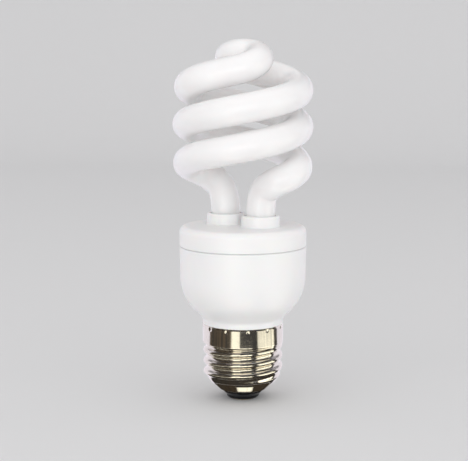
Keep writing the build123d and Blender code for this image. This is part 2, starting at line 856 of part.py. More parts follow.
def main():
    os.makedirs("parts", exist_ok=True)
    for name, make in NODES.items():
        shape = make()
        if isinstance(shape, list):
            shape = Compound(children=[solid for item in shape for solid in item.solids()])
        export_step(shape, f"parts/{name}.step")


main()
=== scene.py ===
import json
import math

import bmesh
import bpy
import numpy as np
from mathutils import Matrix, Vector


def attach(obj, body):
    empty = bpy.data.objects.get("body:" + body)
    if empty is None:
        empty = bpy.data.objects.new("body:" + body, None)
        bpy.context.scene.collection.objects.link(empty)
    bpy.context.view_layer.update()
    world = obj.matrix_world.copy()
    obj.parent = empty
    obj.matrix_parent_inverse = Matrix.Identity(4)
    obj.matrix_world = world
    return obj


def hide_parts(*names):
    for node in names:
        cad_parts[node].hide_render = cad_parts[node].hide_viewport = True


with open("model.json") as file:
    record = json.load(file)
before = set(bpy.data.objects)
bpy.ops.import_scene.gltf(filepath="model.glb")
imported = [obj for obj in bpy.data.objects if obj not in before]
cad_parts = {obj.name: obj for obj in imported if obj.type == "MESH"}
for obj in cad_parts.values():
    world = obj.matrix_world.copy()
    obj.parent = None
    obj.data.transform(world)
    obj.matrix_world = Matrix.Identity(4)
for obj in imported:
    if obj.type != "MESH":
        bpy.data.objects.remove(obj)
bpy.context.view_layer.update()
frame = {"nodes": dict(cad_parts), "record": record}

# Looks of the energy saving bulb. Shapes are worked out in millimetres, in the frame of the CAD model,
# and become metres where a mesh is made. The values below repeat the part's own sizes.
MM = 0.001

# Rounds of moulded edges and of the edges at the seam; steps in each round, and how far off its supports lie
EDGE_ROUND, SEAM_ROUND = 0.1, 0.06
ROUND_STEPS, SUPPORT = 8, 0.1

# Screw cap
PITCH = 3.629
CREST_R = 13.15
ROOT_R = 12.06
SHEET = 0.35
SKIRT_R = 13.35
SKIRT_FOOT_Z, SKIRT_STEP = 19.3, 0.9
CAP_TOP_Z = 25.4
EDGE_H, EDGE_IN = 0.4, 0.18
RIM_Z, RIM_R = 3.4, 8.1
CONE_ANGLE = 42.0
SHOULDER_R = 4.6
CREST_ANGLE, CREST_Z = 185.8, 12.7
THREAD_LOW = (6.2, 9.4)
THREAD_HIGH = (18.3, 19.6)
PUNCHES, PUNCH_R, PUNCH_DEPTH, PUNCH_DROP, PUNCH_TURN = 12, 0.8, 0.28, 0.75, 11.3
LIP_RISE, LIP_START, LIP_POINTS = 0.14, 0.35, 5
SHELL_COLUMNS, SHELL_STEP, SHELL_STEP_IN, SHOULDER_POINTS = 336, 0.155, 0.27, 24

# Insulator
INSULATOR_FOOT_R, INSULATOR_FOOT_Z, INSULATOR_TOP_Z, INSULATOR_BORE_R = 5.4, 1.2, 7.0, 1.3
INSULATOR_SHOULDER_R, INSULATOR_MID_Z, INSULATOR_COLUMNS = 1.5, 3.0, 144
CONTACT_R, CONTACT_T = 4.4, 0.5

# Ballast case
CASE_R, CASE_WALL, CASE_TAPER = 20.85, 1.4, 0.3
BOWL_R, BOWL_SLOPE = 15.4, 45.0
NECK_R, LIP_H, LIP_GAP, LIP_BLEND_R = 13.4, 2.0, 0.2, 2.4
NECK_GAP, NECK_WALL, NECK_FOOT_Z, NECK_MID_Z = 0.12, 1.3, 12.6, 20.0
PARTING_Z, SEAM = 51.3, 0.25
COVER_TOP_Z, COVER_ROUND, COVER_PLATE = 58.0, 2.2, 1.5
BOARD_TOP_Z, BOARD_T, BOARD_HOLE_R = 46.7, 1.2, 19.15
LEDGE_W, LEDGE_H = 0.9, 1.2
SPIGOT_R, SPIGOT_IN_R, SPIGOT_Z = 19.05, 17.85, 47.0
COLLAR_R, COLLAR_TOP_Z, COLLAR_DRAFT, COLLAR_BORE_R = 6.15, 61.7, 4.0, 5.1
COLLAR_FOOT, PLATE_EDGE, UNDER_EDGE = 0.4, 0.15, 0.3
CUP_COLUMNS, COVER_COLUMNS = 180, 192
DIVIDING_POINTS, TOP_ROWS, UNDER_ROWS, ROW_CROWDING = 48, 16, 14, 1.3

# Spiral tube
TUBE_R = 4.75
COIL_R, COIL_LEAD, FIRST_LOBE_Z = 18.1, 24.0, 78.35
COIL_ENTRY, COIL_CORNERS, COIL_LEAN = 24.0, 12, 0.85
LEG_R, LEG_ANGLE, LEG_FOOT_Z, LEG_BEND_Z = 6.9, 150.0, 53.2, 69.25
LEAD_IN_HEADING, LEAD_IN_RISE, LEAD_IN_PULLS, LEAD_IN_SHARES = 108.7, 0.54, (10.15, 20.3), (0.3, 0.55, 0.8)
LEAD_OUT_DROP, LEAD_OUT_PULLS, LEAD_OUT_SHARES = 0.11, (11.15, 10.5), (0.17, 0.5, 0.83)
BRIDGE_R, BRIDGE_RISE, BRIDGE_CORNERS, TUBE_TOP_Z = 5.1, 5.4, 4, 118.55
END_ROUND = 1.4
BEND_STEPS, TUBE_RINGS, TUBE_COLUMNS, RING_LIFT = 24, 760, 56, 50


# Numbers and meshes

def smooth_step(x, low, high):
    """0 below low, 1 above high, and 3 t^2 - 2 t^3 between them."""
    t = np.clip((x - low) / (high - low), 0, 1)
    return t * t * (3 - 2 * t)


def mesh_object(name, points, faces, finish, smooth=True):
    """An object with a mesh, from points in metres."""
    mesh = bpy.data.meshes.new(name)
    mesh.from_pydata(points.reshape(-1, 3).tolist(), [], faces)
    mesh.update()
    mesh.polygons.foreach_set("use_smooth", np.full(len(mesh.polygons), smooth))
    mesh.materials.append(finish)
    made = bpy.data.objects.new(name, mesh)
    bpy.context.scene.collection.objects.link(made)
    return made


def mesh_piece(name, points, faces, nodes, slot):
    """A mesh piece from points in millimetres; it rides on the one body and stands for CAD nodes."""
    piece = mesh_object(name, points * MM, faces, FINISHES[slot])
    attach(piece, "root")
    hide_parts(*nodes)
    return piece


def ring_faces(rows, columns, wrap):
    """Quads of a grid whose columns close into rings, and whose rows close too if wrap is set."""
    last = rows if wrap else rows - 1
    row = np.arange(last)[:, None]
    column = np.arange(columns)[None, :]
    above = (row + 1) % rows
    beside = (column + 1) % columns
    quads = np.stack([row * columns + column, row * columns + beside,
                      above * columns + beside, above * columns + column], axis=-1)
    return quads.reshape(-1, 4).tolist()


def strip_faces(rows, columns):
    """Quads of a grid that closes neither way."""
    row, column = np.meshgrid(np.arange(rows - 1), np.arange(columns - 1), indexing="ij")
    corner = (row * columns + column).ravel()
    return np.stack([corner, corner + 1, corner + columns + 1, corner + columns], axis=-1).tolist()


def capped_faces(rows, columns):
    """Faces of a stack of rings that ends in one point below the first ring and one above the last."""
    faces = ring_faces(rows, columns, False)
    column = np.arange(columns)
    beside = (column + 1) % columns
    foot = rows * columns
    top = foot + 1
    low = np.stack([np.full(columns, foot), beside, column], axis=-1)
    start = (rows - 1) * columns
    high = np.stack([np.full(columns, top), start + column, start + beside], axis=-1)
    return faces + low.tolist() + high.tolist()


def rounded(corners):
    """Line in the radius-height plane through corners (radius, height, round): each corner becomes an arc
    of its own radius that touches both its sides.

    The arc of radius r starts r tan(turn / 2) before the corner, and every straight side gets a point close
    to each of its ends, so that its shading stays flat."""
    places = np.array([corner[:2] for corner in corners], float)
    out = [places[:1]]
    for before, corner, after, row in zip(places, places[1:], places[2:], corners[1:]):
        arriving = (corner - before) / np.linalg.norm(corner - before)
        leaving = (after - corner) / np.linalg.norm(after - corner)
        turn = math.acos(np.clip(arriving @ leaving, -1, 1))
        radius = row[2]
        reach = radius * math.tan(turn / 2)
        bend = np.sign(arriving[0] * leaving[1] - arriving[1] * leaving[0])
        side = np.array([-arriving[1], arriving[0]]) * bend
        centre = corner - arriving * reach + side * radius
        angles = np.linspace(0, turn, ROUND_STEPS + 1)[:, None]
        arc = centre - side * radius * np.cos(angles) + arriving * radius * np.sin(angles)
        support = min(reach, SUPPORT)
        out.append(np.vstack([arc[:1] - arriving * support, arc, arc[-1:] + leaving * support]))
    out.append(places[-1:])
    return np.vstack(out)


def turned(line, angles, centre=(0.0, 0.0)):
    """Rings of a line (radius, height) turned about a vertical axis: (x + r cos a, y + r sin a, z)."""
    radius = line[:, :1]
    return np.stack([centre[0] + radius * np.cos(angles), centre[1] + radius * np.sin(angles),
                     np.repeat(line[:, 1:], len(angles), 1)], axis=-1)


def run_along(line):
    """How far along a line each of its points lies."""
    return np.concatenate([[0], np.cumsum(np.linalg.norm(np.diff(line, axis=0), axis=1))])


def evenly(line, count):
    """The same line with count points at equal distances along it, and those distances."""
    run = run_along(line)
    at = np.linspace(0, run[-1], count)
    return np.stack([np.interp(at, run, line[:, k]) for k in range(line.shape[1])], axis=1), at


def weld(piece):
    """Joins the points that two grids share."""
    work = bmesh.new()
    work.from_mesh(piece.data)
    bmesh.ops.remove_doubles(work, verts=work.verts, dist=1e-7)
    work.to_mesh(piece.data)
    work.free()


# Shader maths

class Signal:
    """One socket of a node tree; arithmetic on it adds Math nodes."""

    def __init__(self, tree, socket):
        self.tree = tree
        self.socket = socket

    def _math(self, operation, *values):
        return add_node(self.tree, "ShaderNodeMath", {"operation": operation}, dict(enumerate(values)))

    def __add__(self, other):
        return self._math("ADD", self, other)

    def __sub__(self, other):
        return self._math("SUBTRACT", self, other)

    def __rsub__(self, other):
        return self._math("SUBTRACT", other, self)

    def __mul__(self, other):
        return self._math("MULTIPLY", self, other)

    def power(self, other):
        return self._math("POWER", self, other)

    __radd__ = __add__
    __rmul__ = __mul__


def fill(tree, socket, value):
    """Links a signal to a socket, or sets the socket's own value. A colour gets its fourth number here."""
    if isinstance(value, Signal):
        tree.links.new(value.socket, socket)
    elif hasattr(socket.default_value, "__len__") and len(socket.default_value) == 4:
        socket.default_value = (*value, 1)
    else:
        socket.default_value = value


def add_node(tree, kind, settings=None, inputs=None, output=0):
    """Any node: first its settings, then its sockets, by name or number. Gives one of its outputs."""
    made = tree.nodes.new(kind)
    for name, value in (settings or {}).items():
        setattr(made, name, value)
    for name, value in (inputs or {}).items():
        fill(tree, made.inputs[name], value)
    return Signal(tree, made.outputs[output])


class Finish:
    """A procedural material: node() adds any node, and set() fills a socket of the Principled shader."""

    def __init__(self, name, colour, **constants):
        self.material = bpy.data.materials.new(name)
        self.material.use_nodes = True
        self.tree = self.material.node_tree
        self.tree.nodes.clear()
        self.shader = self.tree.nodes.new("ShaderNodeBsdfPrincipled")
        output = self.tree.nodes.new("ShaderNodeOutputMaterial")
        self.tree.links.new(self.shader.outputs[0], output.inputs["Surface"])
        self.set("Base Color", colour)
        for socket, value in constants.items():
            self.set(socket.replace("_", " "), value)
        self.place = self.node("ShaderNodeTexCoord", output="Object")

    def node(self, kind, settings=None, inputs=None, output=0):
        return add_node(self.tree, kind, settings, inputs, output)

    def set(self, socket, value):
        fill(self.tree, self.shader.inputs[socket], value)

    def scaled(self, size, stretch=(1, 1, 1)):
        """Object coordinates stretched, for a pattern whose cells are size millimetres."""
        factor = tuple(s / (size * MM) for s in stretch)
        return self.node("ShaderNodeVectorMath", {"operation": "MULTIPLY"}, {0: self.place, 1: factor})

    def noise(self, size, detail, roughness=0.5, stretch=(1, 1, 1)):
        """Noise in space, from 0 to 1."""
        return self.node("ShaderNodeTexNoise", {"noise_dimensions": "3D"}, {
            "Vector": self.scaled(size, stretch), "Scale": 1.0, "Detail": detail, "Roughness": roughness})

    def axis(self, letter):
        """One coordinate in millimetres."""
        split = self.node("ShaderNodeSeparateXYZ", None, {0: self.place}, "XYZ".index(letter))
        return split * (1 / MM)

    def blend(self, factor, first, second):
        """Mix of two colours by a factor."""
        return self.node("ShaderNodeMix", {"data_type": "RGBA"}, {0: factor, 6: first, 7: second}, 2)

    def ramp(self, value, low, high):
        """0 at low, 1 at high, straight between them and held outside."""
        return self.node("ShaderNodeMapRange", {"clamp": True}, {
            "Value": value, "From Min": low, "From Max": high, "To Min": 0.0, "To Max": 1.0})

    def bump(self, height, distance, strength):
        """Bump of a height from 0 to 1 that stands distance millimetres proud."""
        self.set("Normal", self.node("ShaderNodeBump", None, {
            "Height": height, "Distance": distance * MM, "Strength": strength}))


def milky_glass():
    """Clear glass over a white phosphor coat: chalky, with a faint warm mottling under a glossy skin."""
    finish = Finish("milky_glass", (0.90, 0.89, 0.87), Roughness=0.42, Coat_Weight=0.8, Coat_Roughness=0.2,
                    Coat_IOR=1.5, Specular_IOR_Level=0.2, Subsurface_Weight=0.5, Subsurface_Scale=0.006,
                    Subsurface_Radius=(1.0, 0.86, 0.84))
    mottling = finish.ramp(finish.noise(6.0, 4.0, 0.6), 0.35, 0.7)
    grain = finish.noise(0.45, 2.0, 0.5)
    finish.set("Base Color", finish.blend(mottling, (0.955, 0.946, 0.942), (0.942, 0.926, 0.924)))
    finish.set("Roughness", grain * 0.12 + 0.36)
    finish.bump(finish.noise(9.0, 1.0, 0.4), 0.03, 0.5)
    return finish.material


def white_plastic():
    """Moulded white plastic: semi gloss, with a fine skin texture, faint flow marks and painted shade along
    the seam.
    """
    finish = Finish("white_plastic", (0.88, 0.88, 0.865), Roughness=0.38, Specular_IOR_Level=0.45,
                    Subsurface_Weight=0.12, Subsurface_Scale=0.002)
    flow = finish.ramp(finish.noise(11.0, 3.0, 0.55, (1, 1, 0.5)), 0.3, 0.75)
    # Painted shade: the colour darkens towards grey along the seam, fully within 0.08 mm of the parting line
    # and fading out by 0.3 mm.
    from_seam = finish.node("ShaderNodeMath", {"operation": "ABSOLUTE"}, {0: finish.axis("Z") - PARTING_Z})
    dust_and_seam_shade = 1 - finish.ramp(from_seam, 0.08, 0.3)
    clean = finish.blend(flow, (0.925, 0.920, 0.916), (0.912, 0.908, 0.902))
    finish.set("Base Color", finish.blend(dust_and_seam_shade * 0.4, clean, (0.42, 0.41, 0.40)))
    finish.set("Roughness", finish.noise(3.0, 3.0, 0.6) * 0.1 + 0.33)
    finish.bump(finish.noise(0.32, 2.0, 0.6), 0.012, 0.6)
    return finish.material


def nickel_plate():
    """Bright nickel plate: fine turning marks round the shell, faint haze, and small specks of tarnish."""
    finish = Finish("nickel_plate", (0.78, 0.745, 0.68), Metallic=1.0, Roughness=0.13)
    haze = finish.ramp(finish.noise(4.0, 4.0, 0.6), 0.35, 0.8)
    specks = finish.ramp(finish.noise(0.9, 3.0, 0.7), 0.66, 0.74)
    marks = finish.noise(0.16, 2.0, 0.5, (0.08, 0.08, 1))
    plate = finish.blend(haze, (0.80, 0.765, 0.70), (0.74, 0.70, 0.63))
    finish.set("Base Color", finish.blend(specks, plate, (0.42, 0.36, 0.29)))
    finish.set("Roughness", haze * 0.06 + marks * 0.05 + specks * 0.15 + 0.08)
    finish.bump(marks, 0.006, 0.35)
    return finish.material


def black_glass():
    """Fused black glass with a slightly wavy, glossy skin and fine dust."""
    finish = Finish("black_glass", (0.012, 0.012, 0.014), Roughness=0.16, Specular_IOR_Level=0.35)
    dust_and_seam_shade = finish.ramp(finish.noise(0.5, 3.0, 0.7), 0.58, 0.72)
    finish.set("Base Color", finish.blend(dust_and_seam_shade, (0.010, 0.010, 0.012), (0.035, 0.034, 0.034)))
    finish.set("Roughness", dust_and_seam_shade * 0.25 + 0.14)
    finish.bump(finish.noise(1.6, 2.0, 0.5), 0.05, 0.5)
    return finish.material


def mottled(name, first, second, size, roughness, spread, metallic=0.0, relief=0.02, stretch=(1, 1, 1)):
    """Two close tones in a noise pattern, with matching roughness and a light relief."""
    finish = Finish(name, first, Metallic=metallic)
    pattern = finish.noise(size, 4.0, 0.6, stretch)
    tone = finish.ramp(pattern, 0.35, 0.68)
    finish.set("Base Color", finish.blend(tone, first, second))
    finish.set("Roughness", tone * spread + roughness)
    finish.bump(pattern, relief, 0.6)
    return finish.material


def banded(name, first, second, step, letter, roughness, metallic=0.0, relief=0.08):
    """Turns of wire side by side: round ridges every step millimetres along one axis, with painted shade in
    the grooves between them.
    """
    finish = Finish(name, first, Metallic=metallic)
    wave = finish.axis(letter) * (2 * math.pi / step)
    ridge = finish.node("ShaderNodeMath", {"operation": "SINE"}, {0: wave}) * 0.5 + 0.5
    groove = 1 - ridge
    # Painted shade: the colour turns to the second, darker tone in the grooves between the turns.
    finish.set("Base Color", finish.blend(groove.power(2.0), first, second))
    finish.set("Roughness", groove * 0.2 + roughness)
    finish.bump(ridge, relief, 0.9)
    return finish.material


FINISHES = {
    "milky_glass": milky_glass(),
    "white_plastic": white_plastic(),
    "nickel_plate": nickel_plate(),
    "black_glass": black_glass(),
    "cement": mottled("cement", (0.80, 0.78, 0.72), (0.68, 0.65, 0.58), 0.6, 0.8, 0.1, relief=0.06),
    "brass_contact": mottled("brass_contact", (0.76, 0.62, 0.36), (0.62, 0.48, 0.26), 1.4, 0.22, 0.2,
                             1.0, 0.01),
    "solder": mottled("solder", (0.66, 0.66, 0.65), (0.50, 0.50, 0.49), 0.5, 0.25, 0.25, 1.0, 0.05),
    "board": mottled("board", (0.42, 0.28, 0.12), (0.34, 0.22, 0.09), 0.7, 0.6, 0.2, stretch=(1, 0.2, 1)),
    "tinned_steel": mottled("tinned_steel", (0.66, 0.66, 0.64), (0.54, 0.54, 0.52), 0.5, 0.25, 0.2, 1.0),
    "tinned_wire": mottled("tinned_wire", (0.70, 0.68, 0.64), (0.58, 0.56, 0.52), 0.4, 0.28, 0.2, 1.0),
    "ferrite": mottled("ferrite", (0.060, 0.060, 0.066), (0.105, 0.105, 0.112), 0.35, 0.6, 0.2, relief=0.03),
    "bobbin_plastic": mottled("bobbin_plastic", (0.045, 0.045, 0.05), (0.06, 0.06, 0.065), 0.8, 0.45, 0.1),
    "enamelled_copper": banded("enamelled_copper", (0.62, 0.24, 0.08), (0.30, 0.09, 0.03), 0.25, "Z",
                               0.25, 1.0),
    "capacitor_can": mottled("capacitor_can", (0.025, 0.045, 0.15), (0.04, 0.06, 0.18), 3.0, 0.25, 0.1),
    "film_capacitor": mottled("film_capacitor", (0.40, 0.07, 0.035), (0.33, 0.05, 0.025), 1.2, 0.25, 0.12),
    "black_resin": mottled("black_resin", (0.022, 0.022, 0.024), (0.035, 0.035, 0.036), 0.25, 0.5, 0.15),
    "ferrite_coated": mottled("ferrite_coated", (0.05, 0.20, 0.08), (0.07, 0.26, 0.11), 0.6, 0.35, 0.1),
    "hookup_wire": banded("hookup_wire", (0.52, 0.04, 0.03), (0.30, 0.02, 0.015), 0.8, "Y", 0.4,
                          relief=0.15),
    "blue_resin": mottled("blue_resin", (0.07, 0.18, 0.45), (0.05, 0.13, 0.36), 0.9, 0.3, 0.1),
    "resistor_body": mottled("resistor_body", (0.60, 0.46, 0.28), (0.52, 0.39, 0.23), 0.5, 0.45, 0.1),
    "blue_glass": mottled("blue_glass", (0.10, 0.24, 0.55), (0.07, 0.18, 0.45), 0.5, 0.12, 0.1),
    "sleeve": banded("sleeve", (0.80, 0.79, 0.72), (0.60, 0.58, 0.50), 0.5, "Z", 0.75, relief=0.1),
}


# Spiral tube

def cubic(start, pull_start, pull_end, end, shares):
    """Cubic curve (1-t)^3 A + 3 (1-t)^2 t B + 3 (1-t) t^2 C + t^3 D at the shares t."""
    t = np.asarray(shares)[:, None]
    u = 1 - t
    return start * u ** 3 + pull_start * (3 * u * u * t) + pull_end * (3 * u * t * t) + end * t ** 3


def tube_route():
    """Corners of the centre line: leg, lead-in, the rest of one turn of the coil, lead-out and half of the
    bridge, and then the same turned half round the axis and in reverse order. The coil leans a little."""
    slope = COIL_LEAD / (2 * math.pi * COIL_R)
    leg = math.radians(LEG_ANGLE)
    knee = np.array([LEG_R * math.cos(leg), LEG_R * math.sin(leg), LEG_BEND_Z])
    foot = np.array([knee[0], knee[1], LEG_FOOT_Z])
    heading = math.radians(LEAD_IN_HEADING)
    entry = math.radians(180 + COIL_ENTRY)
    joined = np.array([COIL_R * math.cos(entry), COIL_R * math.sin(entry),
                       FIRST_LOBE_Z + COIL_LEAD * COIL_ENTRY / 360])
    onward = np.array([-math.sin(entry), math.cos(entry), slope])
    off = np.array([math.cos(heading), math.sin(heading), LEAD_IN_RISE])
    lead_in = cubic(knee, knee + off * LEAD_IN_PULLS[0], joined - onward * LEAD_IN_PULLS[1], joined,
                    LEAD_IN_SHARES)
    step = (1 - COIL_ENTRY / 360) / COIL_CORNERS
    share = COIL_ENTRY / 360 + (np.arange(COIL_CORNERS) + 0.5) * step
    turn = math.pi + 2 * math.pi * share
    corner_r = COIL_R / math.cos(math.pi * step)
    coil = np.stack([corner_r * np.cos(turn), corner_r * np.sin(turn),
                     FIRST_LOBE_Z + COIL_LEAD * share], axis=1)
    last = np.array([-COIL_R, 0, FIRST_LOBE_Z + COIL_LEAD])
    bridge_z = TUBE_TOP_Z - TUBE_R - BRIDGE_RISE
    side = np.array([0, -2 * BRIDGE_R, bridge_z])
    lead_out = cubic(last, last + np.array([0, -1, slope]) * LEAD_OUT_PULLS[0],
                     side - np.array([1, 0, LEAD_OUT_DROP]) * LEAD_OUT_PULLS[1], side, LEAD_OUT_SHARES)
    swing = (np.arange(BRIDGE_CORNERS) + 0.5) * math.pi / BRIDGE_CORNERS
    bend_r = BRIDGE_R / math.cos(math.pi / (2 * BRIDGE_CORNERS))
    bridge = np.stack([bend_r * np.sin(swing), -BRIDGE_R - bend_r * np.cos(swing),
                       bridge_z + BRIDGE_RISE * np.sin(swing / 2)], axis=1)
    rise = np.vstack([lead_in, coil, lead_out, bridge])
    fall = rise[::-1] * np.array([-1, -1, 1])
    loop = np.vstack([rise, fall])
    lean = math.radians(COIL_LEAN)
    middle_z = FIRST_LOBE_Z + COIL_LEAD / 2
    height = loop[:, 2] - middle_z
    leant = np.stack([loop[:, 0] * math.cos(lean) + height * math.sin(lean), loop[:, 1],
                      middle_z - loop[:, 0] * math.sin(lean) + height * math.cos(lean)], axis=1)
    half_turn = np.array([-1, -1, 1])
    return np.vstack([foot, knee, leant, knee * half_turn, foot * half_turn])


def smooth_line(corners, steps):
    """Quadratic B-spline of the corners: (1-t)^2 M + 2 (1-t) t P + t^2 N from middle M round corner P to
    middle N."""
    middles = (corners[1:] + corners[:-1]) / 2
    t = np.linspace(0, 1, steps, endpoint=False)[None, :, None]
    bends = (middles[:-1, None] * (1 - t) ** 2 + corners[1:-1, None] * (2 * t * (1 - t))
             + middles[1:, None] * t ** 2)
    s = np.linspace(0, 1, steps)[:, None]
    first = corners[0] + (middles[0] - corners[0]) * s[:-1]
    last = middles[-1] + (corners[-1] - middles[-1]) * s
    return np.vstack([first, bends.reshape(-1, 3), last])


def glass_tube():
    """Tube round the centre line: every ring is C + r (cos a E + sin a F), where E and F come from a fixed
    pair by the shortest turn of the axis A onto the tangent, E = e - (e.T) (A + T) / (1 + A.T). Both ends
    are rounded: there r follows a quarter circle."""
    line, run = evenly(smooth_line(tube_route(), BEND_STEPS), TUBE_RINGS)
    tangent = np.gradient(line, axis=0)
    tangent /= np.linalg.norm(tangent, axis=1)[:, None]
    lift = math.radians(RING_LIFT)
    axis = np.array([0, -math.cos(lift), -math.sin(lift)])
    first = np.array([1.0, 0, 0])
    second = np.cross(axis, first)
    share = 1 / (1 + tangent @ axis)
    across = first - ((tangent @ first) * share)[:, None] * (axis + tangent)
    along = second - ((tangent @ second) * share)[:, None] * (axis + tangent)
    inset = np.clip(np.minimum(run, run[-1] - run) / END_ROUND, 0.02, 1)
    radius = (TUBE_R - END_ROUND) + END_ROUND * np.sqrt(1 - (1 - inset) ** 2)
    angle = np.linspace(0, 2 * math.pi, TUBE_COLUMNS, endpoint=False)[None, :, None]
    spoke = across[:, None] * np.cos(angle) + along[:, None] * np.sin(angle)
    rings = line[:, None] + radius[:, None, None] * spoke
    points = np.vstack([rings.reshape(-1, 3), line[:1], line[-1:]])
    mesh_piece("glass_spiral", points, capped_faces(len(line), TUBE_COLUMNS), ["spiral_tube"], "milky_glass")


# Screw cap

def shell_outline(inset):
    """Outline of the shell without its thread, moved in by inset: cone, shoulder arc, root, step, skirt and
    the top edge, which is drawn in a little."""
    slope = math.radians(CONE_ANGLE)
    root = ROOT_R - inset
    skirt = SKIRT_R - inset
    shoulder = SHOULDER_R - inset
    rim = RIM_R - inset / math.sin(slope)
    touch = root - shoulder + shoulder * math.sin(slope)
    arc_z = RIM_Z + (touch - rim) * math.tan(slope) + shoulder * math.cos(slope)
    angle = np.linspace(-math.pi / 2 + slope, 0, SHOULDER_POINTS)
    arc = np.stack([root - shoulder + shoulder * np.cos(angle), arc_z + shoulder * np.sin(angle)], axis=1)
    return np.vstack([[rim, RIM_Z], arc, [root, SKIRT_FOOT_Z - SKIRT_STEP], [skirt, SKIRT_FOOT_Z],
                      [skirt, CAP_TOP_Z - EDGE_H], [skirt - EDGE_IN, CAP_TOP_Z]])


def resample(outline, step):
    """The same outline with points about one step apart."""
    return evenly(outline, int(run_along(outline)[-1] / step) + 1)[0]


def thread_height(angle, z):
    """Height of the rolled thread over its root, from 0 to the full depth h: arcs of one radius R, crest and
    root in turn.

    With u the distance from the nearest crest along Z, the crest arc is h/2 + root(R^2 - u^2) - R + h/2 out
    to a quarter pitch, and the root arc is its mirror. The thread fades in over the shoulder and out under
    the skirt. Both fades follow the height alone, so each end of the ridge runs out over part of a turn."""
    depth = CREST_R - ROOT_R
    quarter = PITCH / 4
    arc_r = (quarter ** 2 + (depth / 2) ** 2) / depth
    turn = (angle - math.radians(CREST_ANGLE)) / (2 * math.pi)
    phase = (z - CREST_Z) / PITCH - turn
    u = (phase - np.round(phase)) * PITCH
    near = np.abs(u) < quarter
    v = np.where(near, u, 2 * quarter - np.abs(u))
    bow = np.sqrt(arc_r ** 2 - v ** 2) - arc_r + depth / 2
    height = np.where(near, depth / 2 + bow, depth / 2 - bow)
    return height * smooth_step(z, *THREAD_LOW) * (1 - smooth_step(z, *THREAD_HIGH))


def punch_dent(angle, z):
    """Depth of the round dents: D (1 - (d / r)^2)^2 inside the radius r round each centre, 0 outside."""
    step = 2 * math.pi / PUNCHES
    swing = angle - math.radians(PUNCH_TURN)
    aside = (swing - np.round(swing / step) * step) * SKIRT_R
    d = np.hypot(aside, z - (CAP_TOP_Z - PUNCH_DROP)) / PUNCH_R
    return PUNCH_DEPTH * np.clip(1 - d * d, 0, 1) ** 2


def rolled_shell():
    """Sheet shell: the outline's radius plus thread height minus dents, on a grid of angle and outline. The
    inner wall is the same surface one sheet further in. The two meet in a rounded edge at the top, and in a
    plain one at the rim, which lies on the insulator."""
    angle = np.linspace(0, 2 * math.pi, SHELL_COLUMNS, endpoint=False)[None, :]
    outer = resample(shell_outline(0), SHELL_STEP)
    inner = resample(shell_outline(SHEET), SHELL_STEP_IN)[::-1]
    over = np.linspace(LIP_START, math.pi - LIP_START, LIP_POINTS)
    lip = np.stack([SKIRT_R - EDGE_IN - SHEET * (0.5 - 0.5 * np.cos(over)),
                    CAP_TOP_Z + LIP_RISE * np.sin(over)], axis=1)
    profile = np.vstack([outer, lip, inner])
    z = np.repeat(profile[:, 1:], SHELL_COLUMNS, 1)
    radius = profile[:, :1] + thread_height(angle, z) - punch_dent(angle, z)
    points = np.stack([radius * np.cos(angle), radius * np.sin(angle), z], axis=-1)
    mesh_piece("rolled_shell", points, ring_faces(len(profile), SHELL_COLUMNS, True), ["screw_shell"],
               "nickel_plate")


# Ballast case

def lathe_piece(name, corners, columns, nodes, slot):
    """Closed profile turned about Z; its last corner is its first one again."""
    angles = np.linspace(0, 2 * math.pi, columns, endpoint=False)
    line = rounded(corners)[:-1]
    mesh_piece(name, turned(line, angles), ring_faces(len(line), columns, True), nodes, slot)


def case_cup():
    """Cup of the case: the neck inside the shell, the lip, a concave blend into a 45 degree cone, the bowl's
    arc, the drafted wall and the seam's bevel, and inside it the recess and ledge of the board."""
    thread_in = ROOT_R - SHEET - NECK_GAP
    shell_in = SKIRT_R - SHEET - NECK_GAP
    bore = thread_in - NECK_WALL
    step_z = SKIRT_FOOT_Z + NECK_GAP
    lip_z = CAP_TOP_Z + LIP_H
    slope = math.tan(math.radians(BOWL_SLOPE))
    wall = CASE_R - CASE_TAPER
    corner_z = lip_z + (wall - NECK_R) * slope
    inner_wall = wall - CASE_WALL
    board_z = BOARD_TOP_Z - BOARD_T
    inner_lip_z = lip_z + CASE_WALL / math.cos(math.radians(BOWL_SLOPE))
    inner_corner_z = inner_lip_z + (inner_wall - NECK_R) * slope
    bore_top_z = inner_lip_z + (bore - NECK_R) * slope
    lathe_piece("case_cup", [
        (bore, NECK_MID_Z), (bore, NECK_FOOT_Z, EDGE_ROUND), (thread_in, NECK_FOOT_Z, 0.2),
        (thread_in, step_z - SKIRT_STEP, EDGE_ROUND), (shell_in, step_z, EDGE_ROUND),
        (shell_in, CAP_TOP_Z + LIP_GAP, 0.05), (NECK_R, CAP_TOP_Z + LIP_GAP, 0.12),
        (NECK_R, lip_z, LIP_BLEND_R), (wall, corner_z, BOWL_R),
        (CASE_R, PARTING_Z - SEAM, SEAM_ROUND), (CASE_R - SEAM, PARTING_Z, SEAM_ROUND),
        (BOARD_HOLE_R, PARTING_Z, EDGE_ROUND), (BOARD_HOLE_R, board_z, EDGE_ROUND),
        (BOARD_HOLE_R - LEDGE_W, board_z, EDGE_ROUND),
        (BOARD_HOLE_R - LEDGE_W, board_z - LEDGE_H, EDGE_ROUND),
        (inner_wall, board_z - LEDGE_H - LEDGE_W, 0.3), (inner_wall, inner_corner_z, BOWL_R - CASE_WALL),
        (bore, bore_top_z, 0.5), (bore, NECK_MID_Z),
    ], CUP_COLUMNS, ["ballast_housing"], "white_plastic")


